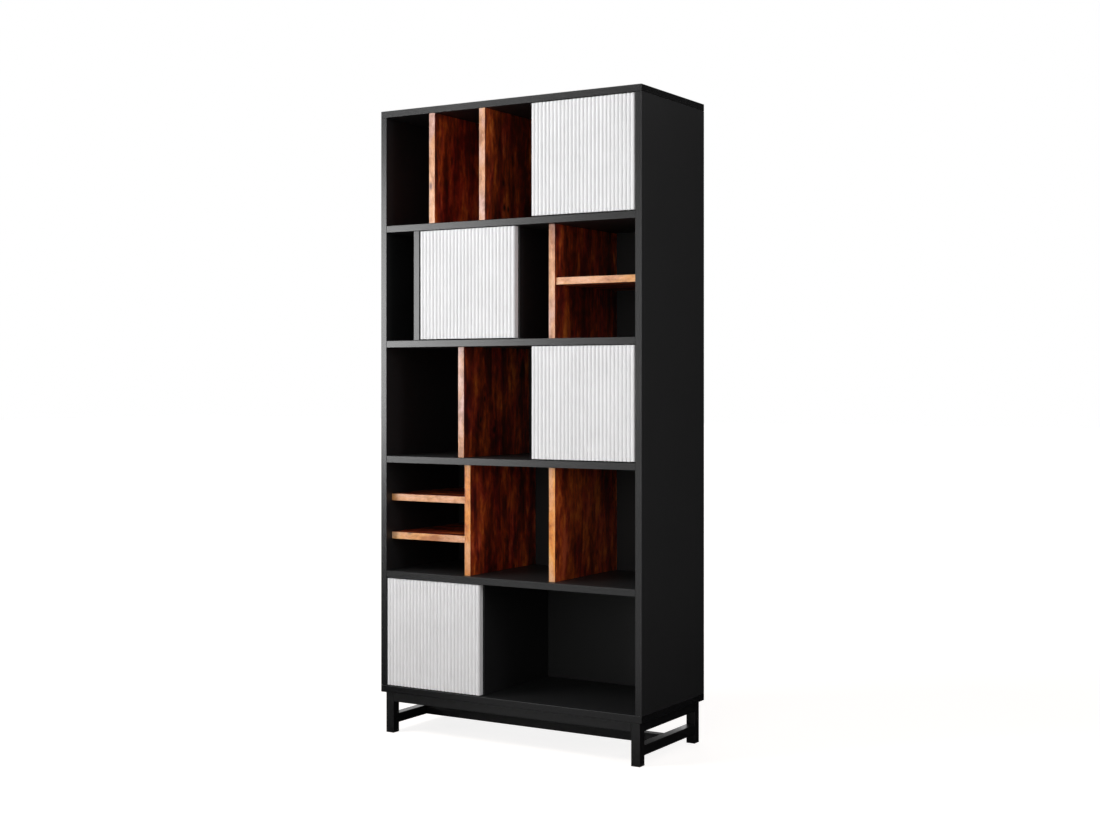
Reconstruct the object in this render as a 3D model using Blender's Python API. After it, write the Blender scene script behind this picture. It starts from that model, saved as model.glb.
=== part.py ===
"""Bookcase with four reeded doors on a black steel base.

A carcass of 18 mm boards has five rows of equal height. Wood dividers and
small wood shelves split the open bays. Four white reeded doors turn on steel
pins in nylon bushes, and push latches in the dividers behind their free edges
hold them shut. The carcass stands on a base of square steel tube.

Units are metres and +Z is up. The front faces -Y, and the origin lies on the
floor under the middle of the bookcase. Row 1 is the top row, row 5 the lowest.
"""
import math

import bmesh
import bpy
from mathutils import Matrix, Vector

# Driving dimensions: carcass
WIDTH = 0.800
DEPTH = 0.350
BASE_HEIGHT = 0.110
BOARD = 0.018
ROW_HEIGHT = 0.293
ROW_COUNT = 5
BACK_THICKNESS = 0.004
BACK_LAP = 0.008
ARRIS = 0.0006

# Driving dimensions: dividers and small shelves
NARROW_BAY = 0.0915
DIVIDER_RECESS = 0.020
SMALL_SHELF_RECESS = 0.025

# Driving dimensions: doors
DOOR_WIDTH = 0.300
DOOR_CORE = 0.015
DOOR_SIDE_GAP = 0.002
DOOR_TOP_GAP = 0.002
DOOR_BOTTOM_GAP = 0.003
REED_PITCH = 0.0111
REED_DEPTH = 0.003
GROOVE_FLAT = 0.0006
REED_FACETS = 6

# Driving dimensions: pivot hinges
PIN_RADIUS = 0.0025
PIN_REACH = 0.007
PIN_CHAMFER = 0.0006
PIN_DEPTH = 0.0105
PLATE_LENGTH = 0.036
PLATE_WIDTH = 0.010
PLATE_THICKNESS = 0.002
PLATE_TAIL = 0.008
SWING_MARGIN = 0.005
BUSH_WALL = 0.0015
BUSH_FLOOR = 0.001
BUSH_FLANGE_RADIUS = 0.0065

# Driving dimensions: push latches
LATCH_RADIUS = 0.005
LATCH_LENGTH = 0.040
LATCH_FLANGE_RADIUS = 0.007
LATCH_FLANGE_THICKNESS = 0.0012
LATCH_END_WALL = 0.002
PLUNGER_RADIUS = 0.003
PLUNGER_LENGTH = 0.028
PLUNGER_STROKE = 0.003
PLUNGER_ROUNDING = 0.0006
STRIKE_RADIUS = 0.006
STRIKE_THICKNESS = 0.001

# Driving dimensions: base
TUBE = 0.025
TUBE_WALL = 0.0015
TUBE_ROUNDING = 0.001
TUBE_ROUNDING_STEPS = 2
BASE_INSET = 0.010
STRETCHER_CLEARANCE = 0.025
FOOT_THICKNESS = 0.003
FOOT_PLUG = 0.012
FOOT_CHAMFER = 0.0008

# Clearances: between pieces that touch, and between pieces that run
SEAT_GAP = 0.0003
RUN_GAP = 0.0003

# Facets round a small turned piece and round the end of a pivot plate, and
# the angle from which an edge counts as sharp
TURNED_FACETS = 16
PLATE_END_FACETS = 6
SHARP_ANGLE = math.radians(40)

# Places worked out from the driving dimensions
LEFT = -WIDTH / 2
RIGHT = WIDTH / 2
FRONT = -DEPTH / 2
BACK = DEPTH / 2
LEFT_WALL = LEFT + BOARD
RIGHT_WALL = RIGHT - BOARD
BACK_WALL = BACK - BACK_THICKNESS - SEAT_GAP
FIRST_FLOOR = BASE_HEIGHT + BOARD
LAST_CEILING = FIRST_FLOOR + ROW_COUNT * ROW_HEIGHT + (ROW_COUNT - 1) * BOARD
HEIGHT = LAST_CEILING + BOARD
DOOR_THICKNESS = DOOR_CORE + REED_DEPTH
BUSH_RADIUS = PIN_RADIUS + RUN_GAP + BUSH_WALL

# The front corner of a door's hinge edge swings clear of the wall beside it
# when its distance from the pin is less than the pin's distance from the wall.
CORNER_DEPTH = PIN_DEPTH - REED_DEPTH
PIN_FROM_EDGE = (CORNER_DEPTH ** 2 - DOOR_SIDE_GAP ** 2) / (2 * DOOR_SIDE_GAP) + SWING_MARGIN

# Depths behind the front plane, from the door's back to the latch divider
PLUNGER_TIP = DOOR_THICKNESS + STRIKE_THICKNESS + SEAT_GAP
LATCH_FACE = PLUNGER_TIP + PLUNGER_STROKE
LATCH_DIVIDER_RECESS = LATCH_FACE + LATCH_FLANGE_THICKNESS + SEAT_GAP


def row_floor(row):
    """Height of the upper face of the board under a row."""
    return FIRST_FLOOR + (ROW_COUNT - row) * (ROW_HEIGHT + BOARD)


def row_ceiling(row):
    """Height of the lower face of the board over a row."""
    return row_floor(row) + ROW_HEIGHT


# Each door: its row, the face of the wall beside its hinge edge, and the way
# from there to its free edge (+1 to the right, -1 to the left)
DOORS = (
    (1, RIGHT_WALL, -1),
    (2, LEFT_WALL + NARROW_BAY + BOARD, 1),
    (3, RIGHT_WALL, -1),
    (5, LEFT_WALL, 1),
)


def free_edge(row):
    """X of the free edge of a row's door."""
    for door_row, wall, way in DOORS:
        if door_row == row:
            return wall + way * (DOOR_SIDE_GAP + DOOR_WIDTH)
    raise ValueError("this row has no door")


# Finishes
def finish(name, colour, roughness, metallic=0.0):
    """A Principled material with a linear colour."""
    material = bpy.data.materials.new(name)
    material.use_nodes = True
    shader = material.node_tree.nodes["Principled BSDF"]
    shader.inputs["Base Color"].default_value = (*colour, 1.0)
    shader.inputs["Roughness"].default_value = roughness
    shader.inputs["Metallic"].default_value = metallic
    material.diffuse_color = (*colour, 1.0)
    return material


# Shaping helpers
def mesh_from(name, shape, smooth=False):
    """Turn a bmesh into a mesh whose faces point outwards."""
    bmesh.ops.recalc_face_normals(shape, faces=shape.faces)
    mesh = bpy.data.meshes.new(name)
    shape.to_mesh(mesh)
    shape.free()
    if smooth:
        mesh.shade_smooth()
        mesh.set_sharp_from_angle(angle=SHARP_ANGLE)
    return mesh


def place(name, mesh, location, material=None, parent=None, rotation=(0.0, 0.0, 0.0)):
    """Put a mesh in the scene at a place given in its parent's frame."""
    item = bpy.data.objects.new(name, mesh)
    item.location = location
    item.rotation_euler = rotation
    item.parent = parent
    bpy.context.scene.collection.objects.link(item)
    if material is not None:
        mesh.materials.append(material)
    return item


def box_mesh(name, size):
    """A box of the given size, centred on its origin."""
    shape = bmesh.new()
    bmesh.ops.create_cube(shape, size=1.0)
    bmesh.ops.scale(shape, vec=size, verts=shape.verts)
    return mesh_from(name, shape)


def outline_mesh(name, outline, low, high):
    """A flat outline of (x, y) points raised from one height to another."""
    shape = bmesh.new()
    corners = [shape.verts.new((x, y, low)) for x, y in outline]
    face = shape.faces.new(corners)
    raised = bmesh.ops.extrude_face_region(shape, geom=[face])
    moved = [item for item in raised["geom"] if isinstance(item, bmesh.types.BMVert)]
    bmesh.ops.translate(shape, vec=(0.0, 0.0, high - low), verts=moved)
    return mesh_from(name, shape)


def turned_mesh(name, profile, facets=TURNED_FACETS):
    """A profile of (radius, height) points turned round the Z axis.

    The profile starts and ends on the axis, so the solid is closed.
    """
    shape = bmesh.new()
    points = [shape.verts.new((radius, 0.0, height)) for radius, height in profile]
    edges = [shape.edges.new(pair) for pair in zip(points, points[1:])]
    bmesh.ops.spin(shape, geom=points + edges, cent=(0.0, 0.0, 0.0), axis=(0.0, 0.0, 1.0),
                   angle=math.tau, steps=facets)
    bmesh.ops.remove_doubles(shape, verts=shape.verts, dist=0.00001)
    return mesh_from(name, shape, smooth=facets > 4)


def bevel(item, width, segments=1):
    """Break an object's sharp edges."""
    modifier = item.modifiers.new("arris", "BEVEL")
    modifier.width = width
    modifier.segments = segments
    modifier.limit_method = "ANGLE"
    modifier.angle_limit = SHARP_ANGLE


def combine(item, tool, operation):
    """Cut a tool from an object, or join it on, and hide the tool."""
    tool.hide_render = True
    tool.display_type = "WIRE"
    modifier = item.modifiers.new(tool.name, "BOOLEAN")
    modifier.operation = operation
    modifier.solver = "EXACT"
    modifier.object = tool


def block(name, low, high, material=None, parent=None):
    """A box object between two corners."""
    low, high = Vector(low), Vector(high)
    return place(name, box_mesh(name, high - low), (low + high) / 2, material, parent)


def board(name, low, high, material):
    """A board with its arrises broken."""
    item = block(name, low, high, material)
    bevel(item, ARRIS)
    return item


# Carcass
def make_carcass(black):
    """Top, bottom, sides, shelves and the back panel in its rebates."""
    boards = {}
    for name, floor in (("top_panel", LAST_CEILING), ("bottom_panel", BASE_HEIGHT)):
        boards[name] = board(name, (LEFT, FRONT, floor), (RIGHT, BACK, floor + BOARD), black)
    for name, outer in (("left_side_panel", LEFT), ("right_side_panel", RIGHT_WALL)):
        boards[name] = board(name, (outer, FRONT, FIRST_FLOOR + SEAT_GAP),
                             (outer + BOARD, BACK, LAST_CEILING - SEAT_GAP), black)

    # One rebate runs round the back of these four boards for the back panel.
    inset = BOARD - BACK_LAP
    rebate = block("back_rebate", (LEFT + inset, BACK_WALL, BASE_HEIGHT + inset),
                   (RIGHT - inset, BACK + BACK_THICKNESS, HEIGHT - inset))
    for item in boards.values():
        combine(item, rebate, "DIFFERENCE")
    block("back_panel", (LEFT + inset + SEAT_GAP, BACK - BACK_THICKNESS, BASE_HEIGHT + inset + SEAT_GAP),
          (RIGHT - inset - SEAT_GAP, BACK, HEIGHT - inset - SEAT_GAP), black)

    for row in range(1, ROW_COUNT):
        name = f"shelf_{row}"
        top = row_floor(row)
        boards[name] = board(name, (LEFT_WALL + SEAT_GAP, FRONT, top - BOARD),
                             (RIGHT_WALL - SEAT_GAP, BACK_WALL, top), black)
    return boards


# Dividers and small shelves
def divider(name, row, left, recess, material):
    """An upright board between the boards under and over a row."""
    return board(name, (left, FRONT + recess, row_floor(row) + SEAT_GAP),
                 (left + BOARD, BACK_WALL, row_ceiling(row) - SEAT_GAP), material)


def even_dividers(names, row, left, right, recess, material):
    """Dividers that split a width into equal bays. Returns the bay width."""
    bay = (right - left - len(names) * BOARD) / (len(names) + 1)
    for count, name in enumerate(names):
        divider(name, row, left + bay + count * (bay + BOARD), recess, material)
    return bay


def small_shelves(names, row, left, right, material):
    """Small shelves that split a bay into equal heights."""
    clear = (ROW_HEIGHT - len(names) * BOARD) / (len(names) + 1)
    for count, name in enumerate(names):
        floor = row_floor(row) + clear + count * (clear + BOARD)
        board(name, (left + SEAT_GAP, FRONT + SMALL_SHELF_RECESS, floor),
              (right - SEAT_GAP, BACK_WALL, floor + BOARD), material)


def make_rows(black, wood):
    """Everything that stands or lies between the full-width boards."""
    even_dividers(("row1_wood_divider_left", "row1_wood_divider_right"), 1,
                  LEFT_WALL, free_edge(1), 0.0, wood)

    divider("row2_hinge_divider", 2, LEFT_WALL + NARROW_BAY, 0.0, black)
    wood_left = free_edge(2) + NARROW_BAY
    divider("row2_wood_divider", 2, wood_left, DIVIDER_RECESS, wood)
    small_shelves(("row2_small_shelf",), 2, wood_left + BOARD, RIGHT_WALL, wood)

    even_dividers(("row3_wood_divider",), 3, LEFT_WALL, free_edge(3), DIVIDER_RECESS, wood)

    bay = even_dividers(("row4_wood_divider_left", "row4_wood_divider_right"), 4,
                        LEFT_WALL, RIGHT_WALL, DIVIDER_RECESS, wood)
    small_shelves(("row4_small_shelf_lower", "row4_small_shelf_upper"), 4,
                  LEFT_WALL, LEFT_WALL + bay, wood)

    dividers = {}
    for row, _, way in DOORS:
        left = min(free_edge(row), free_edge(row) - way * BOARD)
        dividers[row] = divider(f"row{row}_latch_divider", row, left, LATCH_DIVIDER_RECESS, black)
    return dividers


# Doors
def reeded_outline(way):
    """The door's section: a flat back and a front of round convex reeds.

    Distances run from the pin, towards the free edge and towards the back.
    """
    count = max(1, round(DOOR_WIDTH / REED_PITCH))
    pitch = DOOR_WIDTH / count
    half_chord = (pitch - GROOVE_FLAT) / 2
    radius = (half_chord ** 2 + REED_DEPTH ** 2) / (2 * REED_DEPTH)
    half_angle = math.asin(min(1.0, half_chord / radius))

    points = [(0.0, REED_DEPTH)]
    for reed in range(count):
        centre = (reed + 0.5) * pitch
        for step in range(REED_FACETS + 1):
            angle = half_angle * (2 * step / REED_FACETS - 1)
            points.append((centre + radius * math.sin(angle), radius - radius * math.cos(angle)))
    points += [(DOOR_WIDTH, REED_DEPTH), (DOOR_WIDTH, DOOR_THICKNESS - ARRIS),
               (DOOR_WIDTH - ARRIS, DOOR_THICKNESS), (ARRIS, DOOR_THICKNESS),
               (0.0, DOOR_THICKNESS - ARRIS)]
    return [(way * (across - PIN_FROM_EDGE), behind - PIN_DEPTH) for across, behind in points]


def plate_outline(way, spare):
    """A round-ended pivot plate seen from above, grown by a spare width."""
    half = PLATE_WIDTH / 2
    ends = (-PLATE_TAIL + half, PLATE_LENGTH - PLATE_TAIL - half)
    points = []
    for centre, first in ((ends[1], -math.pi / 2), (ends[0], math.pi / 2)):
        for step in range(PLATE_END_FACETS + 1):
            angle = first + math.pi * step / PLATE_END_FACETS
            points.append((way * (centre + (half + spare) * math.cos(angle)),
                           (half + spare) * math.sin(angle)))
    return points


def make_pivot(name, door, way, edge, up, gap, steel):
    """A plate in the pocket of a door's edge, with its pin.

    up is +1 at the door's upper edge and -1 at the lower one.
    """
    pocket_depth = PLATE_THICKNESS + SEAT_GAP
    low, high = sorted((edge - up * pocket_depth, edge + up * gap))
    pocket = place(f"{name}_pocket", outline_mesh(name, plate_outline(way, SEAT_GAP), low, high),
                   (0.0, 0.0, 0.0), parent=door)
    combine(door, pocket, "DIFFERENCE")

    low, high = sorted((edge - up * PLATE_THICKNESS, edge))
    plate = place(name, outline_mesh(name, plate_outline(way, 0.0), low, high),
                  (0.0, 0.0, 0.0), steel, door)
    tip = gap + PIN_REACH
    profile = [(0.0, -PLATE_THICKNESS / 2), (PIN_RADIUS, -PLATE_THICKNESS / 2),
               (PIN_RADIUS, tip - PIN_CHAMFER), (PIN_RADIUS - PIN_CHAMFER, tip), (0.0, tip)]
    pin = place(f"{name}_pin", turned_mesh(f"{name}_pin", [(r, up * h) for r, h in profile]),
                (0.0, 0.0, edge), parent=door)
    combine(plate, pin, "UNION")


def make_bush(name, host, centre, up, gap, nylon):
    """A flanged blind bush, pressed into the board at a door's edge.

    up is +1 where the board lies over the door and -1 where it lies under it.
    """
    sleeve = PIN_REACH + RUN_GAP + BUSH_FLOOR
    flange = gap - RUN_GAP
    profile = [(0.0, sleeve), (BUSH_RADIUS, sleeve), (BUSH_RADIUS, -SEAT_GAP),
               (BUSH_FLANGE_RADIUS, -SEAT_GAP), (BUSH_FLANGE_RADIUS, -flange),
               (PIN_RADIUS + RUN_GAP, -flange), (PIN_RADIUS + RUN_GAP, sleeve - BUSH_FLOOR),
               (0.0, sleeve - BUSH_FLOOR)]
    place(name, turned_mesh(name, [(r, up * h) for r, h in profile]), centre, nylon)

    radius = BUSH_RADIUS + SEAT_GAP
    depth = sleeve + SEAT_GAP
    bore = [(0.0, depth), (radius, depth), (radius, -gap), (0.0, -gap)]
    tool = place(f"{name}_bore", turned_mesh(f"{name}_bore", [(r, up * h) for r, h in bore]), centre)
    combine(host, tool, "DIFFERENCE")


def make_latch(row, door_mid, latch_x, divider_item, dark, grey):
    """A push latch let into the divider's front edge, and its plunger."""
    inwards = (-math.pi / 2, 0.0, 0.0)
    face = Vector((latch_x, FRONT + LATCH_FACE, door_mid))
    seat = LATCH_FLANGE_THICKNESS + SEAT_GAP
    end = seat + LATCH_LENGTH
    hollow = PLUNGER_RADIUS + RUN_GAP
    name = f"row{row}_latch_body"
    profile = [(0.0, end), (LATCH_RADIUS, end), (LATCH_RADIUS, LATCH_FLANGE_THICKNESS),
               (LATCH_FLANGE_RADIUS, LATCH_FLANGE_THICKNESS), (LATCH_FLANGE_RADIUS, 0.0),
               (hollow, 0.0), (hollow, end - LATCH_END_WALL), (0.0, end - LATCH_END_WALL)]
    place(name, turned_mesh(name, profile), face, dark, rotation=inwards)

    radius = LATCH_RADIUS + SEAT_GAP
    depth = end + SEAT_GAP
    bore = [(0.0, depth), (radius, depth), (radius, -seat), (0.0, -seat)]
    tool = place(f"{name}_bore", turned_mesh(f"{name}_bore", bore), face, rotation=inwards)
    combine(divider_item, tool, "DIFFERENCE")

    name = f"row{row}_latch_plunger"
    tip = Vector((latch_x, FRONT + PLUNGER_TIP, door_mid))
    profile = [(0.0, PLUNGER_LENGTH), (PLUNGER_RADIUS, PLUNGER_LENGTH),
               (PLUNGER_RADIUS, PLUNGER_ROUNDING), (PLUNGER_RADIUS - PLUNGER_ROUNDING, 0.0), (0.0, 0.0)]
    place(name, turned_mesh(name, profile), tip, grey, rotation=inwards)


def make_door(row, wall, way, boards, latch_divider, finishes):
    """A reeded door with its pivots, and the bushes and latch that hold it.

    The door's origin lies on its pin's axis, at the level of its lower edge.
    """
    name = f"row{row}_door"
    foot = row_floor(row) + DOOR_BOTTOM_GAP
    height = ROW_HEIGHT - DOOR_BOTTOM_GAP - DOOR_TOP_GAP
    pin_x = wall + way * (DOOR_SIDE_GAP + PIN_FROM_EDGE)
    pin_y = FRONT + PIN_DEPTH
    door = place(name, outline_mesh(name, reeded_outline(way), 0.0, height),
                 (pin_x, pin_y, foot), finishes["white"])

    # The strike disc lies on the back of the door, in line with the latch.
    latch_x = free_edge(row) - way * BOARD / 2
    back = DOOR_THICKNESS - PIN_DEPTH
    disc = [(0.0, -DOOR_CORE / 2), (STRIKE_RADIUS, -DOOR_CORE / 2),
            (STRIKE_RADIUS, STRIKE_THICKNESS), (0.0, STRIKE_THICKNESS)]
    strike = place(f"{name}_strike", turned_mesh(f"{name}_strike", disc),
                   (latch_x - pin_x, back, height / 2), parent=door, rotation=(-math.pi / 2, 0.0, 0.0))
    combine(door, strike, "UNION")

    make_pivot(f"row{row}_upper_pivot", door, way, height, 1, DOOR_TOP_GAP, finishes["steel"])
    make_pivot(f"row{row}_lower_pivot", door, way, 0.0, -1, DOOR_BOTTOM_GAP, finishes["steel"])

    over = boards[f"shelf_{row - 1}" if row > 1 else "top_panel"]
    under = boards[f"shelf_{row}" if row < ROW_COUNT else "bottom_panel"]
    make_bush(f"row{row}_upper_bush", over, (pin_x, pin_y, row_ceiling(row)), 1,
              DOOR_TOP_GAP, finishes["nylon"])
    make_bush(f"row{row}_lower_bush", under, (pin_x, pin_y, row_floor(row)), -1,
              DOOR_BOTTOM_GAP, finishes["nylon"])
    make_latch(row, foot + height / 2, latch_x, latch_divider, finishes["dark"], finishes["grey"])


# Base
def frame_mesh(name, depths, heights, low, high):
    """A welded frame in the plane of one side: two legs and two bars.

    depths are the four edges of the legs from front to back. heights are the
    foot, the lower bar's two edges and the upper bar's two edges.
    """
    shape = bmesh.new()
    grid = [[shape.verts.new((low, depth, height)) for depth in depths] for height in heights]
    for column in range(3):
        for level in range(4):
            if column == 1 and level in (0, 2):
                continue
            shape.faces.new((grid[level][column], grid[level][column + 1],
                             grid[level + 1][column + 1], grid[level + 1][column]))
    spare = [vert for vert in shape.verts if not vert.link_faces]
    bmesh.ops.delete(shape, geom=spare, context="VERTS")
    raised = bmesh.ops.extrude_face_region(shape, geom=list(shape.faces))
    moved = [item for item in raised["geom"] if isinstance(item, bmesh.types.BMVert)]
    bmesh.ops.translate(shape, vec=(high - low, 0.0, 0.0), verts=moved)
    return mesh_from(name, shape)


def make_side_frame(name, outer, steel):
    """One side of the base. The hollow of its tubes opens at the feet."""
    front, back = FRONT + BASE_INSET, BACK - BASE_INSET
    top = BASE_HEIGHT - SEAT_GAP
    bar = STRETCHER_CLEARANCE
    solid = frame_mesh(name, (front, front + TUBE, back - TUBE, back),
                       (FOOT_THICKNESS, bar, bar + TUBE, top - TUBE, top), outer, outer + TUBE)
    frame = place(name, solid, (0.0, 0.0, 0.0), steel)
    bevel(frame, TUBE_ROUNDING, TUBE_ROUNDING_STEPS)

    wall = TUBE_WALL
    inside = frame_mesh(f"{name}_hollow",
                        (front + wall, front + TUBE - wall, back - TUBE + wall, back - wall),
                        (-FOOT_THICKNESS, bar + wall, bar + TUBE - wall, top - TUBE + wall, top - wall),
                        outer + wall, outer + TUBE - wall)
    combine(frame, place(f"{name}_hollow", inside, (0.0, 0.0, 0.0)), "DIFFERENCE")


def make_cross_tube(name, front, floor, steel):
    """A straight tube between the two side frames."""
    low = Vector((LEFT + BASE_INSET + TUBE + SEAT_GAP, front, floor))
    high = Vector((RIGHT - BASE_INSET - TUBE - SEAT_GAP, front + TUBE, floor + TUBE))
    tube = block(name, low, high, steel)
    bevel(tube, TUBE_ROUNDING, TUBE_ROUNDING_STEPS)
    wall = Vector((-TUBE, TUBE_WALL, TUBE_WALL))
    combine(tube, block(f"{name}_hollow", low + wall, high - wall), "DIFFERENCE")


def make_foot(name, centre_x, centre_y, plastic):
    """A square cap under a leg, with a plug that fills the tube's mouth."""
    cap = TUBE / 2
    plug = cap - TUBE_WALL - SEAT_GAP
    top = FOOT_THICKNESS - SEAT_GAP
    profile = [(0.0, 0.0), (cap - FOOT_CHAMFER, 0.0), (cap, FOOT_CHAMFER), (cap, top),
               (plug, top), (plug, FOOT_THICKNESS + FOOT_PLUG), (0.0, FOOT_THICKNESS + FOOT_PLUG)]

    # Four facets turned by an eighth make a square, whose corners lie
    # the square root of two further out than its sides.
    mesh = turned_mesh(name, [(radius * math.sqrt(2), height) for radius, height in profile], facets=4)
    mesh.transform(Matrix.Rotation(math.pi / 4, 4, "Z"))
    place(name, mesh, (centre_x, centre_y, 0.0), plastic)


def make_base(steel, plastic):
    """Two side frames, three cross tubes and four feet."""
    make_side_frame("left_base_frame", LEFT + BASE_INSET, steel)
    make_side_frame("right_base_frame", RIGHT - BASE_INSET - TUBE, steel)
    rail_floor = BASE_HEIGHT - SEAT_GAP - TUBE
    make_cross_tube("front_rail", FRONT + BASE_INSET, rail_floor, steel)
    make_cross_tube("rear_rail", BACK - BASE_INSET - TUBE, rail_floor, steel)
    make_cross_tube("centre_stretcher", -TUBE / 2, STRETCHER_CLEARANCE, steel)

    reach_x = WIDTH / 2 - BASE_INSET - TUBE / 2
    reach_y = DEPTH / 2 - BASE_INSET - TUBE / 2
    for end, depth in (("front", -reach_y), ("rear", reach_y)):
        for side, across in (("left", -reach_x), ("right", reach_x)):
            make_foot(f"{end}_{side}_foot", across, depth, plastic)


def main():
    """Build the bookcase in an emptied scene."""
    for item in list(bpy.data.objects):
        bpy.data.objects.remove(item, do_unlink=True)

    finishes = {
        "black": finish("satin_black_board", (0.012, 0.012, 0.012), 0.35),
        "wood": finish("red_brown_veneer", (0.36, 0.11, 0.035), 0.45),
        "white": finish("white_painted_reeds", (0.83, 0.82, 0.80), 0.5),
        "steel": finish("zinc_plated_steel", (0.55, 0.55, 0.53), 0.35, 1.0),
        "nylon": finish("natural_nylon", (0.75, 0.73, 0.66), 0.5),
        "dark": finish("dark_grey_plastic", (0.05, 0.05, 0.055), 0.5),
        "grey": finish("light_grey_plastic", (0.42, 0.42, 0.42), 0.45),
        "tube": finish("black_powder_coat", (0.010, 0.010, 0.010), 0.45),
        "cap": finish("black_polyethylene", (0.008, 0.008, 0.008), 0.6),
    }
    boards = make_carcass(finishes["black"])
    latch_dividers = make_rows(finishes["black"], finishes["wood"])
    for row, wall, way in DOORS:
        make_door(row, wall, way, boards, latch_dividers[row], finishes)
    make_base(finishes["tube"], finishes["cap"])


main()
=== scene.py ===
# %% [markdown]
# # A bookcase with four reeded doors
# The bookcase has a black carcass, wood dividers and small wood shelves, four
# white reeded doors and a base of black square tube. Its solids come packed,
# each in its real place, and this script gives them their looks. Pieces whose
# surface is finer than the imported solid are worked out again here, in the
# same place and at the same size.
# The sizes are metres, +Z is up and the front faces -Y.

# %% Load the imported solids
import math

import bpy
import numpy as np
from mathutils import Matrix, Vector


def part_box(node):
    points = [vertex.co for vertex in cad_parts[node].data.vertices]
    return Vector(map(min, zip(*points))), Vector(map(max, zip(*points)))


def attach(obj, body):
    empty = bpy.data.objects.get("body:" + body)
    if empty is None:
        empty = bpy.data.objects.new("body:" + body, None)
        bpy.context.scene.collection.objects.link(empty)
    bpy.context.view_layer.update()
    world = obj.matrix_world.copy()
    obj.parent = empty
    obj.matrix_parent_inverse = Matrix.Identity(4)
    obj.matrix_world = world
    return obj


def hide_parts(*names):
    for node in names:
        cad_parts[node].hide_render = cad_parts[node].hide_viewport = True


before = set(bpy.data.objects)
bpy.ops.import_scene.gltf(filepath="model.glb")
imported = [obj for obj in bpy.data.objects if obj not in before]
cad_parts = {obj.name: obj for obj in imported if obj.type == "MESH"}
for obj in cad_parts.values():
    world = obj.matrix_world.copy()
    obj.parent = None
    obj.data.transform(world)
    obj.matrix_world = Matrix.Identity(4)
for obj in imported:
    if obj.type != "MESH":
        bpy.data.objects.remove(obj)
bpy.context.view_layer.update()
MM = 0.001

# %% [markdown]
# ## Camera
# The photograph was taken from the right of the bookcase, a little above its
# middle, with a level camera: all upright edges stay parallel. A level camera
# with a small shift keeps them so. Its place was worked out from the corners
# of the carcass, whose real places are known.

# %% The camera
PHOTO_WIDTH_PIXELS = 1100
FOCAL_PIXELS = 1611.2
AXIS_ABOVE_MIDDLE_PIXELS = 29.7
SENSOR_WIDTH_MM = 36.0
CAMERA_PLACE = (2.2667, -3.6699, 0.9491)
CAMERA_TURN_DEGREES = 31.36

camera_data = bpy.data.cameras.new("camera")
camera_data.sensor_width = SENSOR_WIDTH_MM
camera_data.lens = SENSOR_WIDTH_MM * FOCAL_PIXELS / PHOTO_WIDTH_PIXELS
camera_data.shift_y = -AXIS_ABOVE_MIDDLE_PIXELS / PHOTO_WIDTH_PIXELS
camera = bpy.data.objects.new("camera", camera_data)
camera.location = CAMERA_PLACE
camera.rotation_euler = (math.radians(90), 0.0, math.radians(CAMERA_TURN_DEGREES))
bpy.context.scene.collection.objects.link(camera)
bpy.context.scene.camera = camera
print("lens", round(camera_data.lens, 2), "mm")

# %% [markdown]
# ## Colours and nodes
# A colour is written as people see it on a screen, as an sRGB hex value, and
# turned to the linear value that the renderer counts with. One small function
# adds a node with its settings, and links or sets its inputs, so that each
# material reads as a short list. Another leads what came out to its shader.

# %% Colour and node helpers
def linear(hex_colour):
    """An sRGB hex colour as linear red, green, blue and a full alpha.

    Each channel c is c / 12.92 below 0.04045, and else ((c + 0.055) / 1.055) ** 2.4.
    """
    channels = [int(hex_colour[start:start + 2], 16) / 255 for start in (1, 3, 5)]
    return [c / 12.92 if c <= 0.04045 else ((c + 0.055) / 1.055) ** 2.4 for c in channels] + [1.0]


MIX_FIRST, MIX_SECOND, MIX_RESULT = 6, 7, 2


def add(tree, kind, inputs=None, out=None, stops=(), **settings):
    """Add a shader node. Each input is a value, or the output that feeds it.

    The kind is the node's type without ShaderNode. out names the output to return,
    else the node comes back. The stops of a colour ramp are pairs of a place from 0
    to 1 and a hex colour. A colour mix has its colours at MIX_FIRST and MIX_SECOND.
    """
    node = tree.nodes.new("ShaderNode" + kind)
    for name, value in settings.items():
        setattr(node, name, value)
    for name, value in (inputs or {}).items():
        if isinstance(value, bpy.types.NodeSocket):
            tree.links.new(value, node.inputs[name])
        else:
            node.inputs[name].default_value = value
    for count, (place, colour) in enumerate(stops):
        if count >= len(node.color_ramp.elements):
            node.color_ramp.elements.new(place)
        node.color_ramp.elements[count].position = place
        node.color_ramp.elements[count].color = linear(colour)
    return node if out is None else node.outputs[out]


def new_material(name, **values):
    """A Principled material. What is the same all over is set on its sockets.

    A socket's name has _ for each space here, and in feed.
    """
    material = bpy.data.materials.new(name)
    material.use_nodes = True
    tree = material.node_tree
    shader = tree.nodes["Principled BSDF"]
    for socket, value in values.items():
        shader.inputs[socket.replace("_", " ")].default_value = value
    return material, tree, shader


def feed(tree, shader, **outputs):
    """Link each output to the shader's socket of that name."""
    for socket, output in outputs.items():
        tree.links.new(output, shader.inputs[socket.replace("_", " ")])


print("mid grey #808080 is", round(linear("#808080")[0], 3), "in linear light")

# %% [markdown]
# ## Floor and background
# The photograph shows the bookcase on plain white. Here a pale floor gives
# off its own white to the camera, and to what gloss reflects, on top of the
# light that it gets, so it stays white far out and still holds a soft shadow.
# It gives off less near the bookcase, where the lamps light it most.

# %% The floor and the world
FLOOR_REACH = 30.0
FLOOR_PALE = "#bdb2ab"
GLOW_NEAR, GLOW_FAR = 0.84, 0.95
GLOW_NEAR_RADIUS, GLOW_FAR_RADIUS = 1.5, 5.0
AMBIENT_STRENGTH = 0.24
QUAD_SIGNS = (-1, -1), (1, -1), (1, 1), (-1, 1)


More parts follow.
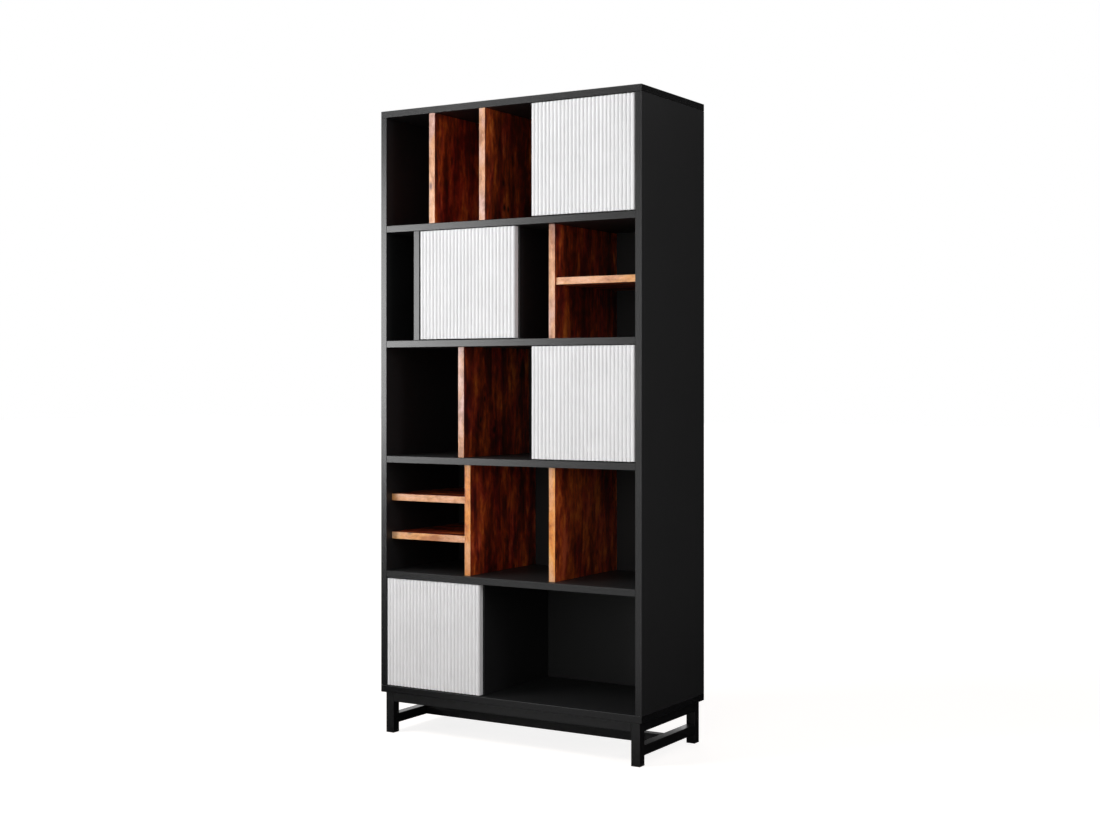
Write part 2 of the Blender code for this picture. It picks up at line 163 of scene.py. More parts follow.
def seen_directly(tree):
    """One for rays of the camera and of gloss and glass, else zero."""
    path = add(tree, "LightPath")
    gloss = add(tree, "Math", {0: path.outputs["Is Camera Ray"], 1: path.outputs["Is Glossy Ray"]},
                out=0, operation="MAXIMUM")
    return add(tree, "Math", {0: gloss, 1: path.outputs["Is Transmission Ray"]}, out=0, operation="MAXIMUM")


def flat_quad(name, material, corners):
    """One flat face with four corners, as a part of the stage."""
    mesh = bpy.data.meshes.new(name)
    mesh.from_pydata([tuple(corner) for corner in corners], [], [(0, 1, 2, 3)])
    mesh.materials.append(material)
    item = bpy.data.objects.new(name, mesh)
    bpy.context.scene.collection.objects.link(item)
    return item


floor_material, tree, shader = new_material(
    "pale_studio_floor", Base_Color=linear(FLOOR_PALE), Roughness=0.9, Specular_IOR_Level=0.1,
    Emission_Color=linear("#ffffff"))
place = add(tree, "TexCoord", out="Object")
distance = add(tree, "VectorMath", {0: place}, out="Value", operation="LENGTH")
brightness = add(tree, "MapRange", {"Value": distance, "From Min": GLOW_NEAR_RADIUS,
                                    "From Max": GLOW_FAR_RADIUS, "To Min": GLOW_NEAR, "To Max": GLOW_FAR},
                 out="Result")
glow = add(tree, "Math", {0: seen_directly(tree), 1: brightness}, out=0, operation="MULTIPLY")
feed(tree, shader, Emission_Strength=glow)
flat_quad("floor", floor_material, [(x * FLOOR_REACH, y * FLOOR_REACH, 0.0) for x, y in QUAD_SIGNS])

world = bpy.data.worlds.new("white_studio")
world.use_nodes = True
bpy.context.scene.world = world
tree = world.node_tree
backdrop = tree.nodes["Background"]
backdrop.inputs["Color"].default_value = linear("#ffffff")
strength = add(tree, "MapRange", {"Value": seen_directly(tree), "To Min": AMBIENT_STRENGTH, "To Max": 1.0},
               out="Result")
feed(tree, backdrop, Strength=strength)
print("floor", 2 * FLOOR_REACH, "m across, ambient light", AMBIENT_STRENGTH)

# %% [markdown]
# ## Lights
# In the photograph the front edges of the black boards carry a soft bright
# patch at the left, from row 1 down to row 4, that fades to the right. That is
# the mirror image of a large softbox at the front left. Its place follows from
# the camera by the law of mirrors. A grid keeps its beam on rows 1 to 4, for
# row 5 is darker. The reeds of the doors are lit mostly from the left: their
# right flanks are grey. So a second softbox stands high at the left, where it
# lights the upper rows most. The one in front is weak, and low enough to reach
# the backs of the bays. A narrow one at the far right lights the front 45 mm
# of each wood face, up to the shadow edge of the next divider, and the sides
# of the doors. The last one stands behind, for views of the back.

# %% The softboxes
def softbox(name, place, target, width, height, power, spread=180):
    """A rectangular area light turned to a target. Gloss shows its outline.

    A spread under 180 degrees is a honeycomb grid in front of it.
    """
    data = bpy.data.lights.new(name, "AREA")
    data.shape = "RECTANGLE"
    data.spread = math.radians(spread)
    data.size = width
    data.size_y = height
    data.energy = power
    lamp = bpy.data.objects.new(name, data)
    way = np.array(target) - np.array(place)
    lamp.location = place
    lamp.rotation_euler = (math.atan2(math.hypot(way[0], way[1]), -way[2]), 0.0,
                           math.atan2(way[1], way[0]) - math.pi / 2)
    bpy.context.scene.collection.objects.link(lamp)


MIDDLE = (0.0, 0.0, 0.9)
softbox("left_softbox", (-3.50, -3.67, 1.30), (0.0, 0.0, 1.2), width=1.9, height=1.5, power=6.5, spread=44)
softbox("high_left_softbox", (-1.6, -1.9, 2.85), MIDDLE, width=1.4, height=1.0, power=42)
softbox("front_softbox", (1.0, -2.9, 1.5), MIDDLE, width=2.2, height=1.4, power=13)
softbox("right_strip_softbox", (3.3, -0.95, 1.5), MIDDLE, width=0.5, height=1.2, power=18)
softbox("rear_softbox", (-1.6, 3.2, 2.2), MIDDLE, width=1.6, height=1.6, power=14)

# %% [markdown]
# Satin black mirrors all that is bright, and a white room would turn it grey.
# Photographers stand dark cards just out of view, where the camera would see
# the room in the gloss. These cards are seen by gloss alone. A grey one behind
# the left softbox gives the front edges their even sheen, and a dark one does
# so beside the right side panel. The cloth on the floor is black near the
# bookcase and pales away from it, to the front and the right, as the faint
# sheen on the lowest edges does in the photograph.

# %% The cards
CLOTH_GLOW = 0.72
CLOTH_FADES = ((0.0, -1.0, 0.0), 0.1, 1.5), ((1.0, -0.93, 0.0), 0.0, 0.7)


def card_material(name, hex_colour, glow):
    """A matt card. Its glow is what gloss sees of the dim room on it."""
    return new_material(name, Base_Color=linear(hex_colour), Roughness=1.0, Specular_IOR_Level=0.0,
                        Emission_Color=linear("#ffffff"), Emission_Strength=glow)


def card(name, material, centre, across, up):
    """A flat card that only gloss can see, from its middle and its two half sides."""
    centre, across, up = (np.array(vector) for vector in (centre, across, up))
    item = flat_quad(name, material, [centre + a * across + b * up for a, b in QUAD_SIGNS])
    item.visible_camera = item.visible_diffuse = item.visible_shadow = False
    item.visible_transmission = item.visible_volume_scatter = False


black_card = card_material("black_card", "#050505", 0.0)[0]
grey_card = card_material("grey_card", "#404040", 0.80)[0]
dark_card = card_material("dark_grey_card", "#202020", 0.03)[0]
# The cloth's glow is painted light that only gloss sees. Its black near the bookcase is painted shade of the
# bookcase on the floor, and it pales away from it.
cloth, tree, shader = card_material("graded_floor_cloth", "#101010", 0.0)
place = add(tree, "TexCoord", out="Object")
fades = []
for way, start, end in CLOTH_FADES:
    along = add(tree, "VectorMath", {0: place, 1: way}, out="Value", operation="DOT_PRODUCT")
    fades.append(add(tree, "MapRange", {"Value": along, "From Min": start, "From Max": end}, out="Result"))
pale = add(tree, "Math", {0: fades[0], 1: fades[1]}, out=0, operation="MINIMUM")
pale = add(tree, "Math", {0: pale, 1: CLOTH_GLOW}, out=0, operation="MULTIPLY")
feed(tree, shader, Emission_Strength=pale)
card("grey_card_in_front", grey_card, (-1.05, -6.06, 0.7), (2.05, -1.54, 0.0), (0.0, 0.0, 1.7))
card("black_card_over_the_grey_one", black_card, (-1.05, -6.06, 3.7), (2.05, -1.54, 0.0), (0.0, 0.0, 1.3))
card("black_card_at_the_left", black_card, (-4.65, -3.36, 1.5), (1.55, -1.16, 0.0), (0.0, 0.0, 3.5))
card("card_at_the_right", dark_card, (1.1, 1.4, 0.9), (-1.2, 0.6, 0.0), (0.0, 0.0, 1.6))
card("cloth_on_the_floor", cloth, (0.0, 0.0, 1 * MM), (4.5, 0.0, 0.0), (0.0, 4.5, 0.0))
print("five cards for the gloss")

# %% [markdown]
# ## Black boards
# The carcass is chipboard faced with black melamine paper, pressed against a
# plate that leaves a fine pebble. The eye sees a soft, broken sheen. The cut
# edges carry a strip of black plastic, which is smoother and mirrors more.
# Both are one material here: the surface's own direction tells a face from
# an edge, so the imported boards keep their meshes. The pebble is 0.5 mm on the
# real board and 0.9 mm here, or the render would not show it at all.

# %% Black melamine
PEBBLE_MM, SPECK_MM, SHEEN_CLOUD_MM = 0.9, 4, 120
PEBBLE_DEPTH = 0.06 * MM
BOARD_BLACK, BOARD_BLACK_PALER = "#101011", "#151516"
BAND_ROUGHNESS, MELAMINE_ROUGHNESS, CLOUD_ROUGHNESS = 0.225, 0.45, 0.05


def black_melamine(name, face_axis):
    """Melamine on the two faces square to face_axis, and edge band on the others."""
    material, tree, shader = new_material(name, IOR=1.5)
    spot = add(tree, "TexCoord")
    place = spot.outputs["Object"]
    way = add(tree, "SeparateXYZ", {0: spot.outputs["Normal"]}, out=face_axis)
    on_face = add(tree, "Math", {0: way}, out=0, operation="ABSOLUTE")

    speck = add(tree, "TexNoise", {"Vector": place, "Scale": 1000 / SPECK_MM, "Detail": 3.0}, out="Fac")
    colour = add(tree, "ValToRGB", {"Fac": speck}, out="Color",
                 stops=((0.35, BOARD_BLACK), (0.65, BOARD_BLACK_PALER)))
    cloud = add(tree, "TexNoise", {"Vector": place, "Scale": 1000 / SHEEN_CLOUD_MM, "Detail": 2.0}, out="Fac")
    even = add(tree, "MapRange", {"Value": on_face, "To Min": BAND_ROUGHNESS, "To Max": MELAMINE_ROUGHNESS},
               out="Result")
    roughness = add(tree, "Math", {0: cloud, 1: CLOUD_ROUGHNESS, 2: even}, out=0, operation="MULTIPLY_ADD")
    pebble = add(tree, "TexVoronoi", {"Vector": place, "Scale": 1000 / PEBBLE_MM}, out="Distance",
                 feature="SMOOTH_F1")
    depth = add(tree, "Math", {0: pebble, 1: on_face}, out=0, operation="MULTIPLY")
    bump = add(tree, "Bump", {"Height": depth, "Strength": 0.15, "Distance": PEBBLE_DEPTH}, out="Normal")
    feed(tree, shader, Base_Color=colour, Roughness=roughness, Normal=bump)
    return material


X_AXIS, Y_AXIS, Z_AXIS = 0, 1, 2
upright_black = black_melamine("black_melamine_upright_board", X_AXIS)
lying_black = black_melamine("black_melamine_lying_board", Z_AXIS)
print("melamine pebble", PEBBLE_MM, "mm")

# %% [markdown]
# The back is a thin sheet of hardboard. Its inner face is painted matt black.
# Its rear face is bare, dark brown with paler fibres, and keeps the print of
# the wire screen that it was pressed on. The screen has about 1.5 mm between
# its wires and is drawn at 3 mm, or it would turn to flicker at the distance
# of the render. The surface's own direction tells the rear face from the rest.

# %% Hardboard
SCREEN_MM = 3.0
FIBRE_CLOUD_MM = 40
SCREEN_DEPTH = 0.15 * MM
WAVE_PERIOD = math.tau / 20

hardboard, tree, shader = new_material("painted_hardboard_bare_behind", IOR=1.45)
spot = add(tree, "TexCoord")
place = spot.outputs["Object"]
fibre = add(tree, "TexNoise", {"Vector": place, "Scale": 1000 / FIBRE_CLOUD_MM, "Detail": 8.0,
                               "Roughness": 0.75}, out="Fac")
painted = add(tree, "ValToRGB", {"Fac": fibre}, out="Color", stops=((0.3, "#0a0a0b"), (0.7, "#111111")))
bare = add(tree, "ValToRGB", {"Fac": fibre}, out="Color", stops=((0.3, "#36271d"), (0.7, "#4e3829")))
backwards = add(tree, "SeparateXYZ", {0: spot.outputs["Normal"]}, out=Y_AXIS)
rear = add(tree, "Math", {0: backwards, 1: 0.5}, out=0, operation="GREATER_THAN")
colour = add(tree, "Mix", {0: rear, MIX_FIRST: painted, MIX_SECOND: bare}, out=MIX_RESULT, data_type="RGBA")
roughness = add(tree, "MapRange", {"Value": fibre, "To Min": 0.58, "To Max": 0.72}, out="Result")
wires = [add(tree, "TexWave", {"Vector": place, "Scale": WAVE_PERIOD / (SCREEN_MM * MM)}, out="Fac",
             bands_direction=axis) for axis in ("X", "Z")]
weave = add(tree, "Math", {0: wires[0], 1: wires[1]}, out=0, operation="MULTIPLY")
screen = add(tree, "Math", {0: weave, 1: rear, 2: fibre}, out=0, operation="MULTIPLY_ADD")
bump = add(tree, "Bump", {"Height": screen, "Strength": 0.3, "Distance": SCREEN_DEPTH}, out="Normal")
feed(tree, shader, Base_Color=colour, Roughness=roughness, Normal=bump)
print("hardboard screen", SCREEN_MM, "mm")

# %% [markdown]
# ## Wood
# The dividers and small shelves are veneered in a red-brown wood with strong
# figure: flames where the knife crossed the rings, bands and streaks along the
# grain, short curled marks, redder and browner zones, a few knots that the
# grain flows round, and open pores. All of it follows the grain, so the
# pattern is drawn in a frame of its own, whose Z runs along the grain, and
# turned to lie along X on the small shelves. The flames are level lines of a
# slow noise, as rings cut at a slant are, and each knot lifts that noise, so
# the lines close round it.
# The front edges carry a strip of the same wood from nearer the bark. It is
# lighter, and shows small grey-brown marks. The strip on the dividers of rows 1
# to 3 is paler and pinker than that of row 4: its colour holds a painted
# reflection, the white sheen of the softbox laid into it over the wood's own
# tone. The one on the small shelves lies between the two, so it holds part of
# that painted reflection. Satin lacquer lies over all. Pores are 0.3 mm wide on
# real wood, and 0.8 mm here to show.

# %% Veneer
def cells(x_mm, y_mm, z_mm):
    """Pattern cells in a metre on each axis, from the size of one cell in millimetres."""
    return 1000 / x_mm, 1000 / y_mm, 1000 / z_mm


# Each pattern is a noise: the size of its cells, its detail and how rough that is.
PATTERNS = {
    "rings": (cells(40, 44, 420), 1.5, 0.50),
    "streaks": (cells(16, 6, 60), 4.0, 0.62),
    "bands": (cells(40, 36, 190), 2.5, 0.50),
    "curl": (cells(24, 10, 28), 3.0, 0.60),
    "hue": (cells(60, 34, 120), 2.0, 0.50),
    "pores": (cells(0.8, 0.8, 11), 1.0, 0.50),
}
TONE_SHARES = {"rings": 0.08, "streaks": 0.32, "bands": 1.10, "curl": 0.65}
FLAME_COUNT = 9
SWAY_CELL, SWAY = cells(60, 60, 150), (0.010, 0.016, 0.0)
KNOT_CELL = cells(60, 62, 120)
KNOT_CORE, KNOT_RIM, KNOT_REACH, KNOT_LIFT = 0.03, 0.13, 0.45, 0.30
BROWN_BELOW, RED_ABOVE = 0.46, 0.60
PORE_START, PORE_FULL, PORE_DARKNESS, PORE_DEPTH = 0.58, 0.72, 0.45, 0.05 * MM


def veneer(name, tones, other_tones, grain_turn, places, knot_tone, roughness):
    """Lacquered veneer whose grain runs along Z, turned by grain_turn degrees about Y.

    Each place is first moved by SWAY times a slow noise. The tone is 0.5 and, for each
    pattern of TONE_SHARES, its share times (pattern - 0.5). It is read from two colour
    ramps, and a slow noise leads from one ramp to the other. The rings go from 0 to 1
    and back as FLAME_COUNT times their noise rises. A knot is dark from its middle to
    KNOT_CORE of a cell, and fades out at KNOT_RIM. It lifts the rings' noise by
    KNOT_LIFT in its middle and by nothing from KNOT_REACH on.
    """
    material, tree, shader = new_material(name, IOR=1.5)
    place = add(tree, "TexCoord", out="Object")
    turn = (0.0, math.radians(grain_turn), 0.0)
    grain = add(tree, "Mapping", {"Vector": place, "Rotation": turn}, out="Vector")
    sway = add(tree, "Mapping", {"Vector": grain, "Scale": SWAY_CELL}, out="Vector")
    sway = add(tree, "TexNoise", {"Vector": sway, "Scale": 1.0, "Detail": 1.0}, out="Color")
    bent = add(tree, "VectorMath", {0: sway, 1: SWAY, 2: grain}, out="Vector", operation="MULTIPLY_ADD")

    away = add(tree, "Mapping", {"Vector": bent, "Scale": KNOT_CELL}, out="Vector")
    away = add(tree, "TexVoronoi", {"Vector": away, "Scale": 1.0}, out="Distance")
    knot = add(tree, "MapRange", {"Value": away, "From Min": KNOT_CORE, "From Max": KNOT_RIM, "To Min": 1.0,
                                  "To Max": 0.0}, out="Result", interpolation_type="SMOOTHSTEP")
    lift = add(tree, "MapRange", {"Value": away, "From Max": KNOT_REACH, "To Min": KNOT_LIFT, "To Max": 0.0},
               out="Result", interpolation_type="SMOOTHSTEP")

    noise = {}
    for pattern, (cell, detail, rough_detail) in PATTERNS.items():
        scaled = add(tree, "Mapping", {"Vector": bent, "Scale": cell}, out="Vector")
        noise[pattern] = add(tree, "TexNoise", {"Vector": scaled, "Scale": 1.0, "Detail": detail,
                                                "Roughness": rough_detail}, out="Fac")
    rings = add(tree, "Math", {0: noise["rings"], 1: lift}, out=0, operation="ADD")
    rings = add(tree, "Math", {0: rings, 1: FLAME_COUNT}, out=0, operation="MULTIPLY")
    noise["rings"] = add(tree, "Math", {0: rings, 1: 1.0}, out=0, operation="PINGPONG")

    tone = 0.5 - sum(TONE_SHARES.values()) / 2
    for pattern, share in TONE_SHARES.items():
        tone = add(tree, "Math", {0: noise[pattern], 1: share, 2: tone}, out=0, operation="MULTIPLY_ADD")
    colours = [add(tree, "ValToRGB", {"Fac": tone}, out="Color", stops=tuple(zip(places, ramp)))
               for ramp in (tones, other_tones)]
    hue = add(tree, "MapRange", {"Value": noise["hue"], "From Min": BROWN_BELOW, "From Max": RED_ABOVE},
              out="Result")
    colour = add(tree, "Mix", {0: hue, MIX_FIRST: colours[0], MIX_SECOND: colours[1]}, out=MIX_RESULT,
                 data_type="RGBA")

    pores = add(tree, "MapRange", {"Value": noise["pores"], "From Min": PORE_START, "From Max": PORE_FULL},
                out="Result")
    dark = add(tree, "Math", {0: pores, 1: PORE_DARKNESS}, out=0, operation="MULTIPLY")
    dark = add(tree, "Math", {0: dark, 1: knot}, out=0, operation="MAXIMUM")
    colour = add(tree, "Mix", {0: dark, MIX_FIRST: colour, MIX_SECOND: linear(knot_tone)}, out=MIX_RESULT,
                 data_type="RGBA")
    dull = add(tree, "MapRange", {"Value": noise["streaks"], "To Min": roughness - 0.05,
                                  "To Max": roughness + 0.07}, out="Result")
    bump = add(tree, "Bump", {"Height": pores, "Strength": 0.25, "Distance": PORE_DEPTH}, out="Normal",
               invert=True)
    feed(tree, shader, Base_Color=colour, Roughness=dull, Normal=bump)
    return material


# %% [markdown]
# The two ramps of a veneer run from its dark to its light tones, at the same
# places. The faces and the strips differ in these places, in the tone of a
# knot and in how dull the lacquer is.

# %% The veneers of this bookcase
FACE = {"places": (0.26, 0.42, 0.52, 0.62, 0.76), "knot_tone": "#160705", "roughness": 0.36}
STRIP = {"places": (0.26, 0.40, 0.52, 0.66, 0.80), "knot_tone": "#7c5a50", "roughness": 0.26}
FACE_BROWN = "#3e140a", "#6c250f", "#943815", "#ba4e1b", "#e27830"
FACE_RED = "#360e0b", "#641a13", "#88291a", "#ac3c22", "#d25e36"
# The next two ramps are for the strip of rows 1 to 3: paler and pinker than row 4's, as painted reflection of
# the softbox's sheen. The ramps of the small shelves' strip hold part of that painted reflection.
SHEEN_PAINTED_ORANGE = "#b47650", "#d8986c", "#e6a87a", "#eeb88e", "#f2c8a4"
SHEEN_PAINTED_PINK = "#ae7e6e", "#d2a090", "#e0b2a2", "#e8c0b2", "#eeccc2"
WARM_ORANGE = "#c0662a", "#e88e3c", "#f8a248", "#fcb25e", "#fcc27a"
WARM_PINK = "#b4683c", "#dc9058", "#eea468", "#f4b27c", "#f6c092"
SHELF_ORANGE = "#bc7446", "#e49e60", "#f6b470", "#fac286", "#facc9c"
SHELF_PINK = "#b27454", "#dc9c72", "#eeb084", "#f4be98", "#f6caaa"
UPRIGHT_GRAIN, LYING_GRAIN = 0, 90

upright_veneer = veneer("figured_veneer_upright", FACE_BROWN, FACE_RED, UPRIGHT_GRAIN, **FACE)
lying_veneer = veneer("figured_veneer_lying", FACE_BROWN, FACE_RED, LYING_GRAIN, **FACE)
sheen_painted_strip = veneer("edge_veneer_with_painted_sheen", SHEEN_PAINTED_ORANGE, SHEEN_PAINTED_PINK, UPRIGHT_GRAIN, **STRIP)
warm_strip = veneer("warm_edge_veneer", WARM_ORANGE, WARM_PINK, UPRIGHT_GRAIN, **STRIP)
shelf_strip = veneer("small_shelf_edge_veneer", SHELF_ORANGE, SHELF_PINK, LYING_GRAIN, **STRIP)
print("flames", FLAME_COUNT, "lines to the full range of the slow noise")

# %% [markdown]
# ## Lacquer, powder coat, plastics and metal
# The reeded doors are fibreboard in white satin lacquer. Sprayed lacquer
# shrinks to a shallow orange peel, here 2.5 mm from crest to crest.

# %% White lacquer
PEEL_MM, LACQUER_CLOUD_MM = 2.5, 70
PEEL_DEPTH = 0.02 * MM

white_lacquer, tree, shader = new_material("white_satin_lacquer", IOR=1.5)
place = add(tree, "TexCoord", out="Object")
peel = add(tree, "TexNoise", {"Vector": place, "Scale": 1000 / PEEL_MM, "Detail": 1.0}, out="Fac")
cloud = add(tree, "TexNoise", {"Vector": place, "Scale": 1000 / LACQUER_CLOUD_MM, "Detail": 2.0}, out="Fac")
colour = add(tree, "ValToRGB", {"Fac": cloud}, out="Color", stops=((0.3, "#f0f1f3"), (0.7, "#f5f6f8")))
roughness = add(tree, "MapRange", {"Value": cloud, "To Min": 0.40, "To Max": 0.50}, out="Result")
bump = add(tree, "Bump", {"Height": peel, "Strength": 0.1, "Distance": PEEL_DEPTH}, out="Normal")
feed(tree, shader, Base_Color=colour, Roughness=roughness, Normal=bump)
print("orange peel", PEEL_MM, "mm")

# %% [markdown]
# The rest are small variations of one plan: a colour that wanders a little, a
# roughness that wanders with it, and a fine relief whose size is that of the
# process. Powder melts to a coarser orange peel than lacquer. Moulded plastic
# carries the spark-eroded grain of its mould, about 0.4 mm. Zinc is laid on
# from a bath and stays even, with faint clouds where the passivation is thick.

# %% Coats, plastics and metals
def coat(name, darker, paler, cloud_mm, grain_mm, relief_mm, roughness, **values):
    """A finish that wanders from one tone to another over cloud_mm.

    Its relief has grains of grain_mm and the height relief_mm.
    """
    material, tree, shader = new_material(name, **values)
    place = add(tree, "TexCoord", out="Object")
    cloud = add(tree, "TexNoise", {"Vector": place, "Scale": 1000 / cloud_mm, "Detail": 3.0}, out="Fac")
    colour = add(tree, "ValToRGB", {"Fac": cloud}, out="Color", stops=((0.3, darker), (0.7, paler)))
    dull = add(tree, "MapRange", {"Value": cloud, "To Min": roughness - 0.06, "To Max": roughness + 0.06},
               out="Result")
    grain = add(tree, "TexNoise", {"Vector": place, "Scale": 1000 / grain_mm, "Detail": 2.0}, out="Fac")
    bump = add(tree, "Bump", {"Height": grain, "Strength": 0.5, "Distance": relief_mm * MM}, out="Normal")
    feed(tree, shader, Base_Color=colour, Roughness=dull, Normal=bump)
    return material


powder_coat = coat("black_powder_coat", "#0c0c0d", "#121213", cloud_mm=9, grain_mm=1.8, relief_mm=0.05,
                   roughness=0.32, IOR=1.5)
cap_plastic = coat("black_polyethylene", "#0d0d0d", "#131313", cloud_mm=14, grain_mm=0.5, relief_mm=0.02,
                   roughness=0.60, IOR=1.5)
nylon = coat("black_nylon", "#111112", "#1a1a1b", cloud_mm=6, grain_mm=0.5, relief_mm=0.01,
             roughness=0.38, IOR=1.53)
latch_plastic = coat("dark_grey_acetal", "#2b2c2e", "#36373a", cloud_mm=8, grain_mm=0.4, relief_mm=0.02,
                     roughness=0.42, IOR=1.48)
plunger_plastic = coat("light_grey_acetal", "#9fa1a3", "#adafb0", cloud_mm=8, grain_mm=0.4, relief_mm=0.01,
                       roughness=0.38, IOR=1.48)
zinc = coat("zinc_plated_steel", "#bfc1c2", "#d6d4ca", cloud_mm=7, grain_mm=1.2, relief_mm=0.01,
            roughness=0.30, Metallic=1.0)
blued_steel = coat("blued_steel", "#26282c", "#35373c", cloud_mm=2, grain_mm=0.8, relief_mm=0.01,
                   roughness=0.42, Metallic=1.0)
print("coats", [finish.name for finish in (powder_coat, cap_plastic, nylon, latch_plastic, plunger_plastic)])
print("metals", [finish.name for finish in (zinc, blued_steel)])

# %% [markdown]
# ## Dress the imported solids
# The black boards, the base and the feet have their real shape in the packed
# solids, so they keep their meshes and only take a finish. A name is matched
# to the first ending in the list that fits. What is left is a lying board.

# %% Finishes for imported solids
FINISHES = (("_foot", cap_plastic), ("_base_frame", powder_coat), ("_rail", powder_coat),
            ("_stretcher", powder_coat), ("back_panel", hardboard),
            ("_side_panel", upright_black), ("_divider", upright_black))

for name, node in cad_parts.items():
    finish = next((material for ending, material in FINISHES if name.endswith(ending)), lying_black)
    node.data.materials.clear()
    node.data.materials.append(finish)
print("dressed", len(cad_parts), "solids")

# %% [markdown]
# ## Surfaces from arrays
# A new piece is a surface worked out with numpy: a grid of points, and the
# quads between them. Two kinds are enough for this bookcase. A flat outline
# carried along a line makes boards and reeded doors. A profile turned round
# an axis makes bushes, latches, discs and heads. Edges of real pieces are
# never sharp, so corners are eased with a small curve. A line of points just
# beside each easing keeps the flat face next to it flat to the light.

# %% Eased corners
EASE_STEPS = 4
BESIDE = 1 / 3


def eased(corners, radius, closed=True):
    """Points along a path of straight runs whose corners are eased.

    A corner C gives way to (1 - t)^2 A + 2 t (1 - t) C + t^2 B, with A and B on the
    two runs, a radius from C. One more point on each run lies a third of a radius
    beyond. The radius is held to what fits on the shorter run. An open path keeps
    its two ends.
    """
    corners = np.asarray(corners, float)
    runs = np.stack([np.roll(corners, 1, axis=0), np.roll(corners, -1, axis=0)]) - corners
    lengths = np.linalg.norm(runs, axis=2, keepdims=True)
    reach = np.minimum(radius, lengths.min(axis=0) * 0.49 / (1 + BESIDE))
    start, end = reach * runs / lengths
    t = np.linspace(0.0, 1.0, EASE_STEPS + 1)[None, :, None]
    curve = start[:, None] * (1 - t) ** 2 + end[:, None] * t ** 2
    curve = np.concatenate([start[:, None] * (1 + BESIDE), curve, end[:, None] * (1 + BESIDE)], axis=1)
    points = corners[:, None] + curve
    if closed:
        return points.reshape(-1, 2)
    return np.concatenate([corners[:1], points[1:-1].reshape(-1, 2), corners[-1:]])


square = eased(((0, 0), (1, 0), (1, 1), (0, 1)), 0.1)
print("a square with eased corners has", len(square), "points")

# %% [markdown]
# A board is its section carried along its length, and a door is its reeded
# section carried up. The ends are eased too: near an end the outline shrinks
# a little as it goes, as a hand with sandpaper would do it.

# %% An outline carried along a line
EASE_SHARE = 0.4


def carried(outline, low, high, radius, rolls=0):
    """A closed surface: an outline carried from low to high, with eased ends.

    The outline turns anticlockwise, and point i lies opposite point -1 - i, so quads
    between such pairs close the ends. With e = EASE_SHARE radius, at the angle a of an
    easing the outline is drawn in by e (1 - cos a) along its normals, e (1 - sin a) from
    the end. rolls turns (u, v, w) to (w, u, v) that many times, to lay the line along
    Z, X or Y.
    """
    ease = EASE_SHARE * radius
    beside = ease * BESIDE
    angle = np.linspace(math.pi / 2, 0.0, EASE_STEPS + 1)
    inset = np.concatenate([[ease + beside], ease * (1 - np.cos(angle)), [0.0]])
    rise = np.concatenate([[0.0], ease * (1 - np.sin(angle)), [ease + beside]])
    inset = np.concatenate([inset, inset[::-1]])
    height = np.concatenate([low + rise, high - rise[::-1]])

    along = np.roll(outline, -1, axis=0) - np.roll(outline, 1, axis=0)
    outward = np.stack([along[:, 1], -along[:, 0]], axis=1) / np.linalg.norm(along, axis=1, keepdims=True)
    points = np.empty((len(height), len(outline), 3))
    points[:, :, :2] = outline[None] - outward[None] * inset[:, None, None]
    points[:, :, 2] = height[:, None]

    count = len(outline)
    number = np.arange(points.shape[0] * count).reshape(points.shape[0], count)
    after = np.roll(number, -1, axis=1)
    sides = np.stack([number[:-1], after[:-1], after[1:], number[1:]], axis=-1).reshape(-1, 4)
    first, last = number[0], number[-1]
    near, far = np.arange(count // 2 - 1), -1 - np.arange(count // 2 - 1)
    foot = np.stack([first[near], first[far], first[far - 1], first[near + 1]], axis=-1)
    head = np.stack([last[near], last[near + 1], last[far - 1], last[far]], axis=-1)
    return np.roll(points.reshape(-1, 3), rolls, axis=1), np.concatenate([sides, foot, head])


points, quads = carried(square, 0.0, 1.0, 0.1)
print("carried up, it has", len(points), "points and", len(quads), "quads")

# %% [markdown]
# Round pieces come from a lathe or a round mould. Their profile is drawn from
# the axis out and back to the axis, and turned through a full circle. Copies
# of one surface, such as nails, are set at many places at once.

# %% A profile turned round an axis
TURNED_STEPS = 56
FACING = {
    "up": np.array(((1, 0, 0), (0, 1, 0), (0, 0, 1))),
    "down": np.array(((1, 0, 0), (0, -1, 0), (0, 0, -1))),
    "back": np.array(((1, 0, 0), (0, 0, -1), (0, 1, 0))),
}


def turned(profile, steps=TURNED_STEPS):
    """A closed surface of revolution round Z from (radius, height) points.

    A profile point (r, h) at the angle t lies at (r cos t, r sin t, h). The profile
    starts and ends on the axis, and runs up its outer side, which it is turned to do.
    """
    profile = np.asarray(profile, float)
    following = np.roll(profile, -1, axis=0)
    area = (profile[:, 0] * following[:, 1] - following[:, 0] * profile[:, 1]).sum()
    profile = profile if area > 0 else profile[::-1]
    angle = np.arange(steps) * math.tau / steps
    points = np.empty((len(profile), steps, 3))
    points[:, :, 0] = profile[:, :1] * np.cos(angle)
    points[:, :, 1] = profile[:, :1] * np.sin(angle)
    points[:, :, 2] = profile[:, 1:]
    number = np.arange(len(profile) * steps).reshape(len(profile), steps)
    after = np.roll(number, -1, axis=1)
    quads = np.stack([number[:-1], after[:-1], after[1:], number[1:]], axis=-1)
    return points.reshape(-1, 3), quads.reshape(-1, 4)


def set_at(surface, places, facing):
    """Copies of a surface, its Z turned to face up, down or back, one at each place."""
    points, quads = surface
    places = np.atleast_2d(np.asarray(places, float))
    copies = (points @ FACING[facing])[None] + places[:, None]
    shift = len(points) * np.arange(len(places))
    return copies.reshape(-1, 3), (quads[None] + shift[:, None, None]).reshape(-1, 4)


points, quads = turned(((0, 0), (1, 0), (1, 1), (0, 1)))
print("a turned drum has", len(points), "points and", len(quads), "quads")

# %% [markdown]
# Points that coincide, as at a pole, become one, and a quad that loses a side
# that way becomes a triangle. Each edge of the mesh must then have two faces,
# which the function counts, because an open seam would leak light.

# %% From arrays to a piece
WELD = 0.37e-6
SHARP_DEGREES = 40


